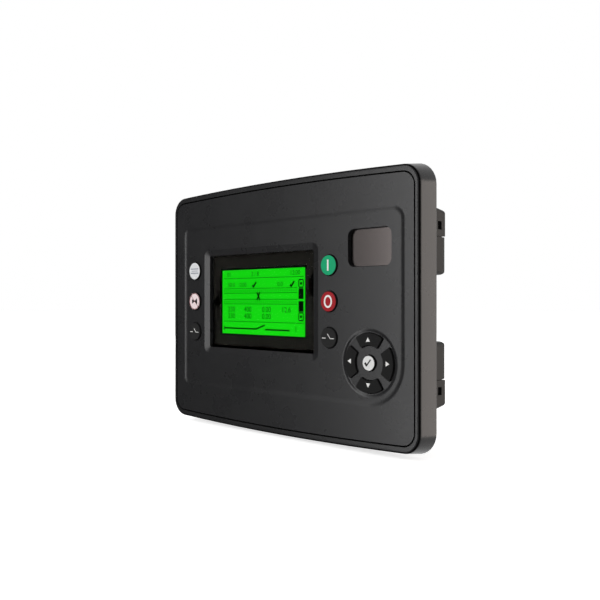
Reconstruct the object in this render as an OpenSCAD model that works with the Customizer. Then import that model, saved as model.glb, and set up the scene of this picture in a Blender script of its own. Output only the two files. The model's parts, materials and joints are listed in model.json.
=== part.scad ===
/* [Bezel] */
// Width of the front bezel across its straight sides
bezel_w = 245; // [240:1:250]
// Height of the front bezel at the middle of its bowed edges
bezel_h = 185; // [180:1:188]
// Depth of the bezel from its front plane to the mounting panel
bezel_d = 17; // [16:0.5:19]
// Radius of the long arcs that bow the top and bottom edges outward
bow_r = 2780; // [2400:10:3600]
// Radius of the four outer corners
corner_r = 14; // [13:0.5:16]
// Radius of the rounded front edge
edge_r = 2.2; // [1.6:0.1:3]
// How far the sides lean in from the panel to the front
draft = 1; // [0.5:0.1:1.5]
// How much further the top and bottom lean in than the sides
extra_draft = 1; // [0.4:0.1:1.4]
// Thickness of the front wall
face_t = 3.5; // [3.2:0.1:4]
// Distance of the fine shadow groove from the outline
groove_in = 4.5; // [4.2:0.1:5]
// Depth of the broad soft-edged recess in the face
recess_d = 1; // [0.6:0.1:1.2]

/* [Display] */
// Sideways place of the display's centre
display_x = -22.2; // [-25:0.1:-21]
// Height of the display's centre above the bezel's centre
display_y = 4.2; // [3:0.1:6]
// Width of the dark window
window_w = 110.8; // [106:0.2:111]
// Height of the dark window
window_h = 71; // [68:0.5:72]
// Thickness of the window
window_t = 1.2; // [1:0.1:1.4]
// How far the window sits below the foot of its sloping frame
window_sink = 2.4; // [2:0.1:2.6]
// Width of the sloping frame round the window
bevel_w = 7; // [5:0.5:8]
// Fall of the sloping frame
bevel_d = 1.2; // [0.8:0.1:1.5]
// Sideways place of the lit area's centre
lcd_x = -22.9; // [-24:0.1:-22]
// Height of the lit area's centre above the bezel's centre
lcd_y = 3.9; // [3.4:0.1:5]
// Width of the lit area of the liquid crystal cell
lcd_w = 88.8; // [86:0.2:90]
// Height of the lit area of the liquid crystal cell
lcd_h = 48.4; // [47:0.2:50]

/* [Keys] */
// Diameter of the round push keys
key_d = 13.8; // [12.5:0.1:14]
// Height of the key tops above the recessed face
key_rise = 1.3; // [1:0.1:1.6]
// Gap between a key and the edge of its hole
key_gap = 0.4; // [0.3:0.05:0.5]
// Height of the middle row of keys
key_row_y = 4.4; // [4:0.1:5.2]
// Distance between the rows of keys
key_pitch = 24.1; // [23.8:0.1:25]
// Sideways place of the left column of keys
left_keys_x = -94; // [-94.5:0.1:-93]
// Sideways place of the right column of keys
right_keys_x = 48.8; // [48:0.1:50]
// Sideways place of the navigation pad, and of the badge pocket above it
pad_x = 82.2; // [82:0.1:83]
// Height of the navigation pad's centre
pad_y = -34.6; // [-36:0.1:-34]
// Radius of the shallow dish round the navigation pad
dish_r = 21.4; // [21.2:0.1:23]
// Diameter of the middle key of the navigation pad
enter_d = 10; // [9:0.1:10.4]
// Inner radius of the four arrow keys
arrow_in_r = 11.2; // [10:0.1:11.6]
// Outer radius of the four arrow keys
arrow_out_r = 19.1; // [18.8:0.1:20]

/* [Badge pocket] */
// Width of the pocket
pocket_w = 35; // [34:0.5:37]
// Height of the pocket
pocket_h = 24.6; // [24:0.2:26]
// Height of the pocket's centre
pocket_y = 39; // [38:0.1:40]
// Depth of the pocket down to its plate
pocket_d = 3; // [2.4:0.1:4]

/* [Rear cover] */
// Width of the cover behind the panel
cover_w = 213; // [211:0.5:214]
// Height of the cover behind the panel
cover_h = 152; // [150:0.5:153]
// Wall thickness of the cover
cover_t = 2; // [1.6:0.1:2.4]
// Depth of the two raised banks behind the panel
bank_d = 33.7; // [31:0.1:36]
// Depth of the valley between the banks
valley_d = 20; // [18:0.5:22]
// Depth of the two troughs that hold the terminal plugs
trough_d = 13; // [12:0.5:14]
// Distance of the banks' inner walls from the middle
bank_in = 21.8; // [21.8:0.1:24]
// Distance of the banks' outer walls from the middle
bank_out = 46.6; // [45:0.1:47]

/* [Terminals] */
// Distance between neighbouring terminals
pole_pitch = 5.08; // [5:0.04:5.08]
// Terminals in each upper plug
upper_poles = [10, 8, 9, 8]; // [6:1:10]
// Terminals in each lower plug
lower_poles = [8, 10, 7, 10]; // [6:1:10]

/* [Hidden] */
$fn = 64;

// Heights are measured out of the face, from the panel plane at zero; depths run the other way.
over = 1;
thin = 0.01;
floor_z = bezel_d - recess_d;
plate_z = bezel_d - face_t;
sill_z = floor_z - bevel_d;
window_z = sill_z - window_sink;

// The top and bottom edges are arcs that run smoothly into the corner arcs.
bow_y = bow_r - bezel_h / 2;
corner_x = bezel_w / 2 - corner_r;
corner_y = sqrt(pow(bow_r - corner_r, 2) - pow(corner_x, 2)) - bow_y;
bow_angle = asin(corner_x / (bow_r - corner_r));
corner_steps = 8;
bow_steps = 10;
back_edge_r = 1.2;
groove_w = 1;
groove_d = 1;
groove_drop = 1.8;
core_out = [3.2, 6.4, 12];
gasket_in = 7.6;
gasket_w = 3;
gasket_t = 1.5;
gasket_gap = 0.1;

// The cavity takes the skirt of the cover with a small gap all round.
rim_t = 14;
cavity_w = bezel_w - 2 * rim_t;
cavity_h = bezel_h - 2 * rim_t;
cavity_r = 6;
skirt_gap = 0.5;
skirt_in = 2.4;
skirt_out = 6;

// The broad recess: its sides, and the corner radii from top right round to bottom right.
recess_sides = [-108.3, 110.6, -62.5, 63.8];
recess_corners = [9, 6, 6, recess_sides[1] - pad_x];
recess_steps = [[0, 0], [1.6, 0.5], [4, 1]];

// The liquid crystal stack hangs behind the window, on the front of the display board.
display_board_z = [2.8, 4.4];
lcd_z = [8.6, 10.6];
backlight_z = [display_board_z[1], lcd_z[0]];
lcd_frame_w = 105;
lcd_frame_h = 65.6;
lcd_frame_z = 11.1;
lcd_glass = [100, 60];
lcd_border = 1.6;
frame_wall = 1;
ledge_w = 1.8;
ledge_t = 1.2;
ledge_wall = 3;
sill_r = [6, 1.5];
window_gap = 0.2;
display_board_sides = [-106, 106, -60, 56];
display_bosses = [[-101, 51], [101, 53], [0, 51], [-101, -55], [101.5, -57], [0, -52]];
boss_d = 6;
pilot_d = 3.1;
screw_d = 3;
screw_head_d = 5.6;
screw_head_t = 2;
screw_gap = 0.2;
head_gap = 0.4;

// Every key is a cap on a flange, with a stem that ends short of its contact.
flange_z = [11.8, 13.2];
flange_w = 1.9;
stem_end_z = 6.2;
stem_d = 8;
arrow_stem_d = 5;
arrow_stem_r = (arrow_in_r + arrow_out_r) / 2;
arrow_half = 34;
arrow_corner = 1;
pad_rise = 1.5;
dish_d = 0.8;
dish_slope = 1.6;
key_edge = [[0, 0.4], [0.12, 0.1], [0.35, 0]];
mat_sides = [-104.5, 104.5, -59, 39];
mat_t = 1.2;
collar_z = 9;
collar_wall = 1.3;
collar_gap = 0.7;
contact_t = 0.1;
rows = [key_row_y + key_pitch, key_row_y, key_row_y - key_pitch];
round_keys = [for (x = [left_keys_x, right_keys_x]) for (y = rows) [x, y]];
arrow_places = [for (i = [0 : 3]) [pad_x, pad_y] + arrow_stem_r * [sin(90 * i), cos(90 * i)]];

pocket_r = 5;
pocket_wall = 2;
badge_t = 1;
badge_gap = 0.3;

// The terminal rows sit in the troughs, between the cheeks at the ends of the cover.
cheek_t = 3;
cheek_rear_y = 64.6;
cheek_front_y = 68;
bank_r = 3.3;
bank_taper = [0.5, 2.4];
cheek_edge_r = 2.6;
cheek_corner_r = 2.2;
seam_w = 0.6;
seam_in = 1;
seam_fit = 0.15;
seam_notch = 2.4;
prong_slot = [4.4, 5.4];
prong_y = 54.2;
prong_depths = [20.6, 27.4];
hood_seat = 1.2;
hood_lip = [3, 1.2];
hood_gap = 0.15;
plug_z = [15, 33.2];
plug_y = [47.2, 58.4, 62.8];
plug_shoulder_d = 22;
plug_side = 0.5;
plug_space = 2.5;
wire_hole = 3.4;
wire_hole_d = 5;
screw_hole_d = 3.8;
screw_hole_deep = 7;
screw_hole_y = 52.4;
terminal_screw_d = 3.4;
terminal_screw_t = 2.5;
slot_w = 0.7;
slot_deep = 0.9;
header_y = [48.4, 60.4];
header_gap = 0.3;

main_board_w = 208;
main_board_h = 147;
main_board_d = [4, 5.6];
cover_screw_x = 99;
cover_screw_y = 69;
post_d = 8.4;
post_gap = 0.6;
cover_screw_len = 20;
board_screws = [for (y = [-70, 70], x = [-50, 50]) [x, y, trough_d], for (x = [-96, 96]) [x, 0, valley_d]];
board_screw_len = 6;
board_pilot_d = 5;
link_place = [42, 46];
link_size = [40, 7];

usb_x = -72;
usb_size = [12, 11, 15];
usb_gap = 0.3;
usb_wall = 0.8;
usb_tongue = [5.6, 3.2];
usb_deep = 11;
chip_place = [-20, 2];
chip_size = [20, 20, 1.6];
memory_x = 8;
memory_y = 9;
memory_size = [12, 8, 1.2];
holder_size = [25, 22, 5];
holder_x = 40;
cell_d = 20;
cell_t = 3.2;
cell_gap = 0.2;
bank_mid = (bank_in + bank_out) / 2;
relay_size = [19, 15.5, 15.6];
relay_places = [-85, -62, -39];
transformer_size = [24, 18, 19];
transformer_places = [-80, -50, -20];
capacitor_places = [20, 34, 48, 62];
capacitor_d = 10;
capacitor_t = 18;

// Stands a shape up: what lay flat facing upward then faces the front.
module upright() rotate([90, 0, 0]) children();

module rounded_rect(w, h, r) {
    square([w - 2 * r, h], center = true);
    square([w, h - 2 * r], center = true);
    for (sx = [-1, 1], sy = [-1, 1])
        translate([sx * (w / 2 - r), sy * (h / 2 - r)]) circle(r);
}

// A rounded slab between two heights.
module slab(w, h, r, z0, z1) translate([0, 0, z0]) linear_extrude(z1 - z0) rounded_rect(w, h, r);

// A square-edged block between two heights.
module block(w, h, z0, z1) translate([-w / 2, -h / 2, z0]) cube([w, h, z1 - z0]);

// A plate between two heights, given by its left, right, lower and upper sides.
module plate(sides, z0, z1) translate([sides[0], sides[2], z0])
    cube([sides[1] - sides[0], sides[3] - sides[2], z1 - z0]);

module disc(d, z0, z1) translate([0, 0, z0]) cylinder(d = d, h = z1 - z0);

// A profile in depth, with its first coordinate upward, run across the width.
module run_across(w) rotate([90, 0, 90]) translate([0, 0, -w / 2]) linear_extrude(w) children();

module both_halves() for (side = [0, 1]) mirror([0, side, 0]) children();

module both_ends() for (side = [0, 1]) mirror([side, 0, 0]) children();

module at_each(places) for (p = places) translate([p[0], p[1], 0]) children();

// The points of an arc about a centre, its ends left out when asked.
function arc(c, r, a0, a1, n, skip = 0) =
    [for (i = [skip : n - skip]) c + r * [cos(a0 + (a1 - a0) * i / n), sin(a0 + (a1 - a0) * i / n)]];

// The bowed outline, drawn in by a distance and flattened by a drop of its top and a rise of its bottom.
function outline(inset, drop = 0) = let (r = corner_r - inset, b = bow_r - inset, q = 90 - bow_angle,
    y = corner_y - drop, c = bow_y + drop) concat(
    arc([corner_x, -y], r, -q, 0, corner_steps),
    arc([corner_x, y], r, 0, q, corner_steps),
    arc([0, -c], b, q, 180 - q, bow_steps, 1),
    arc([-corner_x, y], r, 180 - q, 180, corner_steps),
    arc([-corner_x, -y], r, 180, 180 + q, corner_steps),
    arc([0, c], b, 180 + q, 360 - q, bow_steps, 1));

// Joins copies of the outline into one solid; each ring is a distance inward, a height and a drop.
module outline_loft(rings) {
    n = len(outline(0));
    last = len(rings) - 1;
    points = [for (ring = rings) for (p = outline(ring[0], ring[2])) [p[0], p[1], ring[1]]];
    sides = [for (k = [0 : last - 1]) for (j = [0 : n - 1])
        let (next = (j + 1) % n) [k * n + j, (k + 1) * n + j, (k + 1) * n + next, k * n + next]];
    ends = [[for (j = [0 : n - 1]) j], [for (j = [n - 1 : -1 : 0]) last * n + j]];
    polyhedron(points, concat(sides, ends));
}

// A band that follows the outline between two distances inward.
module outline_band(inset, w, z0, z1) translate([0, 0, z0]) linear_extrude(z1 - z0) difference() {
    polygon(outline(inset));
    polygon(outline(inset + w));
}

// One thin layer of the broad recess, drawn in from its outline.
module recess_layer(inset, depth) {
    s = recess_sides;
    centres = [[s[1], s[3]], [s[0], s[3]], [s[0], s[2]], [s[1], s[2]]];
    turns = [[-1, -1], [1, -1], [1, 1], [-1, 1]];
    for (i = [0 : 3]) {
        r = recess_corners[i];
        translate([centres[i][0] + turns[i][0] * r, centres[i][1] + turns[i][1] * r, bezel_d - depth])
            cylinder(r = r - inset, h = thin, $fn = 96);
    }
}

module face_recess() {
    for (i = [0, 1]) hull() {
        recess_layer(recess_steps[i][0], recess_steps[i][1] * recess_d);
        recess_layer(recess_steps[i + 1][0], recess_steps[i + 1][1] * recess_d);
    }
}

module display_cuts() translate([display_x, display_y, 0]) {
    hull() {
        slab(window_w + 2 * bevel_w, window_h + 2 * bevel_w, sill_r[0], floor_z, floor_z + thin);
        slab(window_w + window_gap, window_h + window_gap, sill_r[1], sill_z, sill_z + thin);
    }
    slab(window_w + window_gap, window_h + window_gap, sill_r[1], window_z - window_t, sill_z + thin);
    block(window_w - 2 * ledge_w, window_h - 2 * ledge_w, 0, bezel_d);
}

// The outline of one arrow key, its corners rounded.
module arrow_outline(grow) offset(r = arrow_corner + grow, $fn = 32) offset(delta = -arrow_corner)
    intersection() {
        difference() {
            circle(arrow_out_r, $fn = 96);
            circle(arrow_in_r, $fn = 96);
        }
        polygon([[0, 0], 2 * arrow_out_r * [sin(-arrow_half), cos(-arrow_half)],
            2 * arrow_out_r * [sin(arrow_half), cos(arrow_half)]]);
    }

module pad_cuts() translate([pad_x, pad_y, 0]) {
    rotate_extrude() polygon([[0, floor_z - dish_d], [dish_r - dish_slope, floor_z - dish_d],
        [dish_r, floor_z], [dish_r, bezel_d], [0, bezel_d]]);
    disc(enter_d + 2 * key_gap, 0, bezel_d);
    for (i = [0 : 3]) rotate([0, 0, -90 * i]) linear_extrude(bezel_d) arrow_outline(key_gap);
}

module bezel_shell() difference() {
    outline_loft(concat(
        [for (a = [0 : 45 : 90]) back_edge_r * [1 - sin(a), 1 - cos(a), 0]],
        [for (a = [0 : 15 : 90])
            [draft + edge_r * (1 - cos(a)), bezel_d - edge_r * (1 - sin(a)), extra_draft]],
        [for (p = [[0, 0], [0, 1], [1, 1], [1, 0]])
            [groove_in + p[0] * groove_w, bezel_d - p[1] * groove_d, groove_drop]]));
    slab(cavity_w, cavity_h, cavity_r, -over, plate_z);
    outline_band(core_out[0], core_out[1] - core_out[0], -over, core_out[2]);
    outline_band(gasket_in, gasket_w, -over, gasket_t);
}

module corner_places() for (sx = [-1, 1], sy = [-1, 1])
    translate([sx * cover_screw_x, sy * cover_screw_y, 0]) children();

module front_bezel() color("#222223") upright() difference() {
    union() {
        bezel_shell();
        translate([display_x, display_y, 0])
            block(window_w + 2 * ledge_wall, window_h + 2 * ledge_wall,
                window_z - window_t - ledge_t, plate_z + over);
        translate([pad_x, pocket_y, 0])
            slab(pocket_w + 2 * pocket_wall, pocket_h + 2 * pocket_wall, pocket_r + pocket_wall,
                floor_z - pocket_d - badge_t - pocket_wall, plate_z + over);
        at_each(display_bosses) disc(boss_d, display_board_z[1], plate_z + over);
        corner_places() disc(post_d, 0, plate_z + over);
    }
    face_recess();
    display_cuts();
    pad_cuts();
    at_each(round_keys) disc(key_d + 2 * key_gap, 0, bezel_d);
    translate([pad_x, pocket_y, 0]) slab(pocket_w, pocket_h, pocket_r, floor_z - pocket_d - badge_t, bezel_d);
    at_each(display_bosses) disc(pilot_d, 0, plate_z - over);
    corner_places() disc(pilot_d, -over, plate_z - over);
}

module display_window() color("#0b0c0d") upright() translate([display_x, display_y, 0])
    slab(window_w, window_h, sill_r[1], window_z - window_t, window_z);

module lcd_frame() color("#161617") upright() difference() {
    translate([display_x, display_y, 0]) block(lcd_frame_w, lcd_frame_h, display_board_z[1], lcd_frame_z);
    translate([display_x, display_y, 0])
        block(lcd_frame_w - 2 * frame_wall, lcd_frame_h - 2 * frame_wall, 0, lcd_z[1]);
    translate([lcd_x, lcd_y, 0]) block(lcd_w + 2 * lcd_border, lcd_h + 2 * lcd_border, 0, bezel_d);
}

module lcd_panel() color("#18d018") upright() translate([lcd_x, lcd_y, 0])
    block(lcd_glass[0], lcd_glass[1], lcd_z[0], lcd_z[1]);

module backlight() color("#e8efe6") upright() translate([lcd_x, lcd_y, 0])
    block(lcd_glass[0], lcd_glass[1], backlight_z[0], backlight_z[1]);

module display_board() color("#1d5a32") upright() difference() {
    plate(display_board_sides, display_board_z[0], display_board_z[1]);
    at_each(display_bosses) disc(screw_d + 2 * screw_gap, 0, display_board_z[1] + over);
}

module screw(len) {
    disc(screw_d, 0, len);
    disc(screw_head_d, -screw_head_t, 0);
}

module display_screws() color("#b9bcc0") upright()
    at_each(display_bosses) translate([0, 0, display_board_z[0]]) screw(board_screw_len);

module keypad_mat() color("#3a3d40") upright() difference() {
    union() {
        plate(mat_sides, display_board_z[1], display_board_z[1] + mat_t);
        at_each(round_keys) disc(stem_d + 2 * (collar_gap + collar_wall), display_board_z[1], collar_z);
        at_each(concat(arrow_places, [[pad_x, pad_y]]))
            disc(arrow_stem_d + 2 * (collar_gap + collar_wall), display_board_z[1], collar_z);
    }
    translate([display_x, display_y, 0])
        block(lcd_frame_w + 2 * collar_gap, lcd_frame_h + 2 * collar_gap, 0, bezel_d);
    at_each(round_keys) disc(stem_d + 2 * collar_gap, 0, bezel_d);
    at_each(concat(arrow_places, [[pad_x, pad_y]])) disc(arrow_stem_d + 2 * collar_gap, 0, bezel_d);
    at_each(display_bosses) disc(boss_d + 2 * collar_gap, 0, bezel_d);
}

module contact_pads() color("#c9a445") upright() {
    z = display_board_z[1];
    at_each(round_keys) disc(stem_d, z, z + contact_t);
    at_each(concat(arrow_places, [[pad_x, pad_y]])) disc(arrow_stem_d, z, z + contact_t);
}

// A round cap with a softened top edge, its flange and its stem.
module round_key(place, d, top_z, stem) upright() translate([place[0], place[1], 0]) rotate_extrude()
    polygon(concat([[0, stem_end_z], [stem / 2, stem_end_z], [stem / 2, flange_z[0]],
        [d / 2 + flange_w, flange_z[0]], [d / 2 + flange_w, flange_z[1]], [d / 2, flange_z[1]]],
        [for (e = key_edge) [d / 2 - e[0], top_z - e[1]]], [[0, top_z]]));

module page_key() color("#b9bdc4") round_key(round_keys[0], key_d, floor_z + key_rise, stem_d);
module mute_key() color("#d8c4c0") round_key(round_keys[1], key_d, floor_z + key_rise, stem_d);
module open_key() color("#2b2b2c") round_key(round_keys[2], key_d, floor_z + key_rise, stem_d);
module start_key() color("#20a060") round_key(round_keys[3], key_d, floor_z + key_rise, stem_d);
module stop_key() color("#c8242c") round_key(round_keys[4], key_d, floor_z + key_rise, stem_d);
module close_key() color("#2b2b2c") round_key(round_keys[5], key_d, floor_z + key_rise, stem_d);
module enter_key() color("#c6c9cc")
    round_key([pad_x, pad_y], enter_d, floor_z - dish_d + pad_rise, arrow_stem_d);

// An arrow key, counted clockwise from the top one.
module arrow_key(i) color("#2b2b2c") upright() translate([pad_x, pad_y, 0]) rotate([0, 0, -90 * i]) {
    translate([0, 0, flange_z[0]]) linear_extrude(floor_z - dish_d + pad_rise - flange_z[0]) arrow_outline(0);
    translate([0, 0, flange_z[0]]) linear_extrude(flange_z[1] - flange_z[0]) arrow_outline(collar_wall);
    translate([0, arrow_stem_r, 0]) disc(arrow_stem_d, stem_end_z, flange_z[0] + over);
}

module up_key() arrow_key(0);
module right_key() arrow_key(1);
module down_key() arrow_key(2);
module left_key() arrow_key(3);

module badge_plate() color("#77726e") upright() translate([pad_x, pocket_y, 0])
    slab(pocket_w - 2 * badge_gap, pocket_h - 2 * badge_gap, pocket_r - badge_gap,
        floor_z - pocket_d - badge_t, floor_z - pocket_d);

module panel_gasket() color("#2f3133") upright()
    outline_band(gasket_in + gasket_gap, gasket_w - 2 * gasket_gap, 0, gasket_t);

// The low part of the cover, in section: height from the middle against depth behind the panel.
module cover_section(wall) for (side = [0, 1]) mirror([side, 0])
    polygon([[0, -skirt_in], [cover_h / 2 - wall, -skirt_in], [cover_h / 2 - wall, trough_d - wall],
        [bank_out - wall, trough_d - wall], [bank_out - wall, valley_d - wall], [0, valley_d - wall]]);

// One raised bank from a given depth, rounded along its inner edge, its ends tapered at the rear.
module bank(wall, low) {
    r = bank_r - wall;
    w = cover_w - 2 * wall;
    inner = bank_in + wall;
    outer = bank_out - wall;
    rear = bank_d - wall;
    intersection() {
        run_across(w) polygon(concat([[inner, low], [outer, low], [outer, rear]],
            arc([inner + r, rear - r], r, 90, 180, corner_steps)));
        slab_end(w, inner, r, low, rear);
        translate([0, outer + over, 0]) rotate([90, 0, 0]) linear_extrude(outer - inner + 2 * over)
            polygon([[-w / 2, low], [w / 2, low], [w / 2, rear - bank_taper[1]], [w / 2 - bank_taper[0], rear],
                [bank_taper[0] - w / 2, rear], [-w / 2, rear - bank_taper[1]]]);
    }
}

// A slab that starts at a height above the middle and is rounded on its lower edge only.
module slab_end(w, y, r, z0, z1) translate([0, y + w / 2, 0]) slab(w, w, r, z0, z1);

// A hood over one bank: a hollow cap whose lip drops into the opening of the cover below it.
module hood() {
    difference() {
        bank(0, valley_d);
        bank(cover_t, valley_d - over);
    }
    translate([0, bank_mid, 0]) difference() {
        hood_block(hood_seat + hood_gap, valley_d - hood_lip[0], valley_d + over);
        hood_block(hood_seat + hood_gap + hood_lip[1], valley_d - hood_lip[0] - over, valley_d + 2 * over);
    }
}

// The footprint of a bank, drawn in on every side, between two depths.
module hood_block(inset, z0, z1) block(cover_w - 2 * inset, bank_out - bank_in - 2 * inset, z0, z1);

module upper_hood() color("#262627") upright() at_depth() hood();
module lower_hood() color("#262627") upright() at_depth() mirror([0, 1, 0]) hood();

// The end cheek closes a trough beside the hood and leans in towards the rear, with rounded edges.
cheek_angle = atan2(cheek_front_y - cheek_rear_y, bank_d - trough_d);
cheek_corner_y = cheek_rear_y - cheek_corner_r * (1 - sin(cheek_angle)) / cos(cheek_angle);

module cheek() difference() {
    translate([(cover_w - cheek_t) / 2, 0, 0]) run_across(cheek_t)
        polygon(concat([[bank_out - over, trough_d - over], [cheek_front_y, trough_d - over],
            [cheek_front_y, trough_d]],
            arc([cheek_corner_y, bank_d - cheek_corner_r], cheek_corner_r, cheek_angle, 90, corner_steps),
            [[bank_out + seam_fit, bank_d], [bank_out + seam_fit, valley_d], [bank_out - over, valley_d]]));
    translate([cover_w / 2 - cheek_edge_r, cheek_front_y, trough_d]) rotate([cheek_angle, 0, 0])
        translate([0, -cheek_edge_r, 0]) linear_extrude(2 * bank_d) difference() {
            square(cheek_edge_r + over);
            circle(cheek_edge_r);
        }
    for (d = prong_depths) translate([cover_w / 2, prong_y, 0])
        block(2 * cheek_t + 2 * over, prong_slot[1], d - prong_slot[0] / 2, d + prong_slot[0] / 2);
    translate([cover_w / 2, bank_out + seam_w / 2, 0]) {
        block(2 * seam_in, seam_w, valley_d, bank_d + over);
        block(2 * cheek_t + over, seam_w, bank_d - seam_notch, bank_d + over);
    }
}

function poles_before(poles, i) = i == 0 ? 0 : poles[i - 1] + poles_before(poles, i - 1);
function plug_w(n) = n * pole_pitch + 2 * plug_side;
function plug_left(poles, i) = poles_before(poles, i) * pole_pitch + i * (2 * plug_side + plug_space);
function row_w(poles) = plug_left(poles, 3) + plug_w(poles[3]);
function plug_x(poles, i) = plug_left(poles, i) - row_w(poles) / 2 + plug_w(poles[i]) / 2;

module at_depth() mirror([0, 0, 1]) children();

module rear_cover() color("#262627") upright() at_depth() difference() {
    union() {
        difference() {
            union() {
                slab(cavity_w - 2 * skirt_gap, cavity_h - 2 * skirt_gap, cavity_r, -skirt_in, skirt_out);
                run_across(cover_w) cover_section(0);
            }
            run_across(cover_w - 2 * cover_t) cover_section(cover_t);
            both_halves() translate([0, bank_mid, 0])
                hood_block(hood_seat, valley_d - hood_lip[0], valley_d + over);
        }
        both_ends() both_halves() cheek();
        corner_places() disc(post_d, 0, trough_d);
        for (p = board_screws) translate([p[0], p[1], 0]) disc(boss_d, main_board_d[1], p[2] - over);
    }
    corner_places() disc(screw_d + 2 * screw_gap, -over, trough_d + over);
    corner_places() disc(screw_head_d + 2 * head_gap, trough_d - screw_head_t - head_gap, trough_d + over);
    at_each(board_screws) disc(pilot_d, 0, main_board_d[1] + board_pilot_d);
    for (i = [0 : 3]) {
        translate([plug_x(upper_poles, i), (header_y[0] + header_y[1]) / 2, 0])
            header_block(plug_w(upper_poles[i]) + 2 * header_gap, 2 * header_gap, over);
        translate([plug_x(lower_poles, i), -(header_y[0] + header_y[1]) / 2, 0])
            header_block(plug_w(lower_poles[i]) + 2 * header_gap, 2 * header_gap, over);
    }
    translate([usb_x, 0, 0])
        block(usb_size[0] + 2 * usb_gap, usb_size[1] + 2 * usb_gap, main_board_d[1], bank_d);
}

module header_block(w, grow, past)
    block(w, header_y[1] - header_y[0] + grow, main_board_d[1], plug_z[0] + past);

module headers(poles, side) upright() at_depth() for (i = [0 : 3])
    translate([plug_x(poles, i), side * (header_y[0] + header_y[1]) / 2, 0])
        header_block(plug_w(poles[i]), 0, 0);

module upper_headers() color("#2d2f31") headers(upper_poles, 1);
module lower_headers() color("#2d2f31") headers(lower_poles, -1);

// A terminal plug: wires enter its sloping side and its clamp screws are reached from the rear.
module plug_section() polygon([[plug_y[0], plug_z[0]], [plug_y[2], plug_z[0]], [plug_y[2], plug_shoulder_d],
    [plug_y[1], plug_z[1]], [plug_y[0], plug_z[1]]]);

slope_angle = atan2(plug_y[2] - plug_y[1], plug_z[1] - plug_shoulder_d);

module at_poles(n) for (k = [0 : n - 1]) translate([(k - (n - 1) / 2) * pole_pitch, 0, 0]) children();

module plug(poles, i, side) color("#2a2b2c") upright() at_depth() mirror([0, side < 0 ? 1 : 0, 0])
    translate([plug_x(poles, i), 0, 0]) difference() {
        run_across(plug_w(poles[i])) plug_section();
        at_poles(poles[i]) {
            translate([0, screw_hole_y, 0]) disc(screw_hole_d, plug_z[1] - screw_hole_deep, plug_z[1] + over);
            translate([0, (plug_y[1] + plug_y[2]) / 2, (plug_z[1] + plug_shoulder_d) / 2])
                rotate([slope_angle - 90, 0, 0]) block(wire_hole, wire_hole, -wire_hole_d, over);
        }
    }

module upper_plug_1() plug(upper_poles, 0, 1);
module upper_plug_2() plug(upper_poles, 1, 1);
module upper_plug_3() plug(upper_poles, 2, 1);
module upper_plug_4() plug(upper_poles, 3, 1);
module lower_plug_1() plug(lower_poles, 0, -1);
module lower_plug_2() plug(lower_poles, 1, -1);
module lower_plug_3() plug(lower_poles, 2, -1);
module lower_plug_4() plug(lower_poles, 3, -1);

module slotted_screw(z) difference() {
    disc(terminal_screw_d, z, z + terminal_screw_t);
    block(terminal_screw_d + over, slot_w, z + terminal_screw_t - slot_deep, z + terminal_screw_t + over);
}

module terminal_screws() color("#b4b8bb") upright() at_depth() for (i = [0 : 3]) {
    translate([plug_x(upper_poles, i), screw_hole_y, 0])
        at_poles(upper_poles[i]) slotted_screw(plug_z[1] - screw_hole_deep);
    translate([plug_x(lower_poles, i), -screw_hole_y, 0])
        at_poles(lower_poles[i]) slotted_screw(plug_z[1] - screw_hole_deep);
}

module cover_screws() color("#a9acb0") upright() at_depth() corner_places()
    translate([0, 0, trough_d - screw_head_t - head_gap]) mirror([0, 0, 1]) screw(cover_screw_len);

module main_board() color("#1f6038") upright() at_depth() difference() {
    block(main_board_w, main_board_h, main_board_d[0], main_board_d[1]);
    corner_places() disc(post_d + 2 * post_gap, 0, trough_d);
    at_each(board_screws) disc(screw_d + 2 * screw_gap, 0, trough_d);
}

module main_board_screws() color("#b9bcc0") upright() at_depth()
    at_each(board_screws) translate([0, 0, main_board_d[0]]) screw(board_screw_len);

module board_link() color("#1a1b1c") upright() translate([link_place[0], link_place[1], 0])
    block(link_size[0], link_size[1], -main_board_d[0], display_board_z[0]);

module on_board(x, y, size) translate([x, y, 0])
    block(size[0], size[1], main_board_d[1], main_board_d[1] + size[2]);

module usb_socket() color("#c3c6c9") upright() at_depth() translate([usb_x, 0, main_board_d[1]]) {
    difference() {
        block(usb_size[0], usb_size[1], 0, usb_size[2]);
        block(usb_size[0] - 2 * usb_wall, usb_size[1] - 2 * usb_wall,
            usb_size[2] - usb_deep, usb_size[2] + over);
    }
    block(usb_tongue[0], usb_tongue[1], over, usb_size[2] - over);
}

module relays() color("#2c4f8c") upright() at_depth()
    for (x = relay_places) on_board(x, bank_mid, relay_size);

module current_transformers() color("#20262b") upright() at_depth()
    for (x = transformer_places) on_board(x, -bank_mid, transformer_size);

module capacitors() color("#3a4a68") upright() at_depth()
    for (x = capacitor_places) translate([x, bank_mid, 0])
        disc(capacitor_d, main_board_d[1], main_board_d[1] + capacitor_t);

module processor() color("#18191a") upright() at_depth() on_board(chip_place[0], chip_place[1], chip_size);

module memory_chips() color("#18191a") upright() at_depth()
    for (y = [-memory_y, memory_y]) on_board(memory_x, y, memory_size);

module cell_holder() color("#232425") upright() at_depth() difference() {
    on_board(holder_x, 0, holder_size);
    translate([holder_x, 0, main_board_d[1]])
        disc(cell_d + 2 * cell_gap, holder_size[2] - cell_t, holder_size[2] + over);
}

module coin_cell() color("#c9ccd0") upright() at_depth() translate([holder_x, 0, main_board_d[1]])
    disc(cell_d, holder_size[2] - cell_t, holder_size[2]);

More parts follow.
